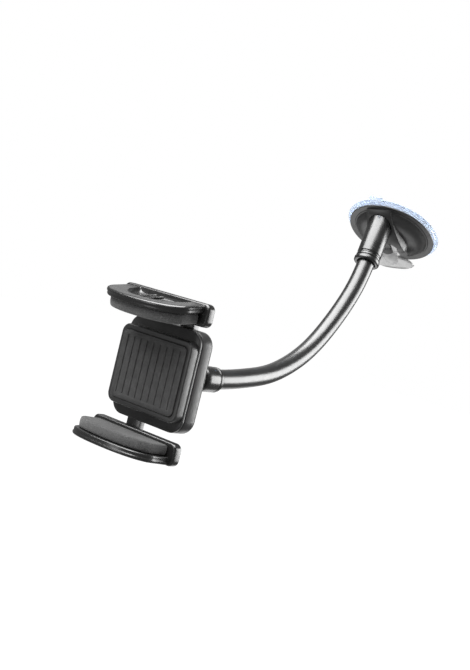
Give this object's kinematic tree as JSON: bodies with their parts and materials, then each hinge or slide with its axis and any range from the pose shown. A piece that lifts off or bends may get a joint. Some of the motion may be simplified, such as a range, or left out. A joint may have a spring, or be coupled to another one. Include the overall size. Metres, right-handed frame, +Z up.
{
  "type": "car phone mount",
  "caption": "Windscreen phone mount: suction base with a locking lever, bendable arm, ball joint, and a cradle whose padded jaws slide together to grip a phone.",
  "frame": {"origin": "centre of the suction face, on the glass", "axes": "+Z up, -Y the way the phone faces (towards the driver), +X to the driver's right; the suction face leans back with the windscreen"},
  "size_m": [0.0886, 0.2623, 0.169],
  "materials": {
    "cup_gel": "clear pale blue, gloss",
    "gloss_black": "gloss",
    "satin_black": "satin",
    "arm_sheath": "smooth gloss sheath",
    "lever_grey": "satin",
    "white_nylon": "satin",
    "steel": "drawn",
    "pad_rubber": "matt",
    "foam": "speckled closed-cell foam"
  },
  "bodies": {
    "base": {"suction_cup": "cup_gel", "base_cover": "satin_black", "neck_sleeve": "gloss_black", "collar_ring": "gloss_black", "arm_sheath_0": "arm_sheath", "arm_core_0": "steel"},
    "stem": {"cup_stem": "satin_black", "lever_pin": "steel"},
    "lever": {"lock_lever": "lever_grey"},
    "arm_1": {"arm_sheath_1": "arm_sheath", "arm_core_1": "steel"},
    "arm_2": {"arm_sheath_2": "arm_sheath", "arm_core_2": "steel"},
    "arm_3": {"arm_sheath_3": "arm_sheath", "arm_core_3": "steel"},
    "arm_4": {"arm_sheath_4": "arm_sheath", "arm_core_4": "steel"},
    "arm_5": {"arm_sheath_5": "arm_sheath", "arm_core_5": "steel", "arm_ferrule": "gloss_black", "ball_stud": "gloss_black"},
    "ball_tilt": {"liner_rear": "white_nylon"},
    "ball_pan": {"liner_front": "white_nylon"},
    "cradle": {"rear_housing": "satin_black", "front_cover": "satin_black", "front_pad": "pad_rubber", "housing_screw_1": "steel", "housing_screw_2": "steel", "housing_screw_3": "steel", "housing_screw_4": "steel", "pinion_axle": "steel", "detent_spring": "steel"},
    "nut": {"lock_nut": "satin_black"},
    "upper_slide": {"upper_jaw": "gloss_black", "upper_foam": "foam"},
    "lower_slide": {"lower_jaw": "gloss_black", "lower_foam": "foam"},
    "drive_gear": {"pinion": "white_nylon"}
  },
  "joints": [
    {"name": "stem_travel", "type": "slide", "parent": "base", "child": "stem", "axis": [-0.1696, 0.4648, 0.869], "range_m": [0, 0.0017]},
    {"name": "lever_swing", "type": "hinge", "parent": "stem", "child": "lever", "pos_m": [0.00192, -0.00525, -0.00982], "axis": [-0.9827, -0.1469, -0.1132], "range_deg": [0, 55]},
    {"name": "arm_bend_1", "type": "hinge", "parent": "base", "child": "arm_1", "pos_m": [0.00922, -0.03528, -0.04002], "axis": [1, 0, 0], "range_deg": [-20, 20]},
    {"name": "arm_bend_2", "type": "hinge", "parent": "arm_1", "child": "arm_2", "pos_m": [0.01164, -0.05306, -0.06645], "axis": [0, -0.776, 0.6307], "range_deg": [-20, 20]},
    {"name": "arm_bend_3", "type": "hinge", "parent": "arm_2", "child": "arm_3", "pos_m": [0.01553, -0.07652, -0.08764], "axis": [1, 0, 0], "range_deg": [-20, 20]},
    {"name": "arm_bend_4", "type": "hinge", "parent": "arm_3", "child": "arm_4", "pos_m": [0.01988, -0.10499, -0.10131], "axis": [0, -0.2663, 0.9639], "range_deg": [-20, 20]},
    {"name": "arm_bend_5", "type": "hinge", "parent": "arm_4", "child": "arm_5", "pos_m": [0.02424, -0.13615, -0.10707], "axis": [1, 0, 0], "range_deg": [-20, 20]},
    {"name": "ball_tilt", "type": "hinge", "parent": "arm_5", "child": "ball_tilt", "pos_m": [0.026, -0.1882, -0.11], "axis": [1, 0, 0], "range_deg": [-15, 15]},
    {"name": "ball_pan", "type": "hinge", "parent": "ball_tilt", "child": "ball_pan", "pos_m": [0.026, -0.1882, -0.11], "axis": [0, 0, 1], "range_deg": [-15, 15]},
    {"name": "ball_swivel", "type": "hinge", "parent": "ball_pan", "child": "cradle", "pos_m": [0.026, -0.1882, -0.11], "axis": [0, -1, 0], "continuous": true},
    {"name": "nut_turn", "type": "hinge", "parent": "cradle", "child": "nut", "pos_m": [0.026, -0.1857, -0.11], "axis": [0, 1, 0], "range_deg": [0, 120]},
    {"name": "jaw_slide", "type": "slide", "parent": "cradle", "child": "upper_slide", "axis": [0, 0, 1], "range_m": [-0.0085, 0.0105]},
    {"name": "lower_jaw_slide", "type": "slide", "parent": "cradle", "child": "lower_slide", "axis": [0, 0, -1], "range_m": [-0.0085, 0.0105]},
    {"name": "pinion_turn", "type": "hinge", "parent": "cradle", "child": "drive_gear", "pos_m": [0.026, -0.1997, -0.11], "axis": [0, -1, 0], "range_deg": [-98, 121]}
  ],
  "couplings": [
    {"joint": "stem_travel", "follows": "lever_swing", "m_per_rad": 0.001771},
    {"joint": "lower_jaw_slide", "follows": "jaw_slide", "ratio": 1},
    {"joint": "pinion_turn", "follows": "jaw_slide", "rad_per_m": 200}
  ]
}
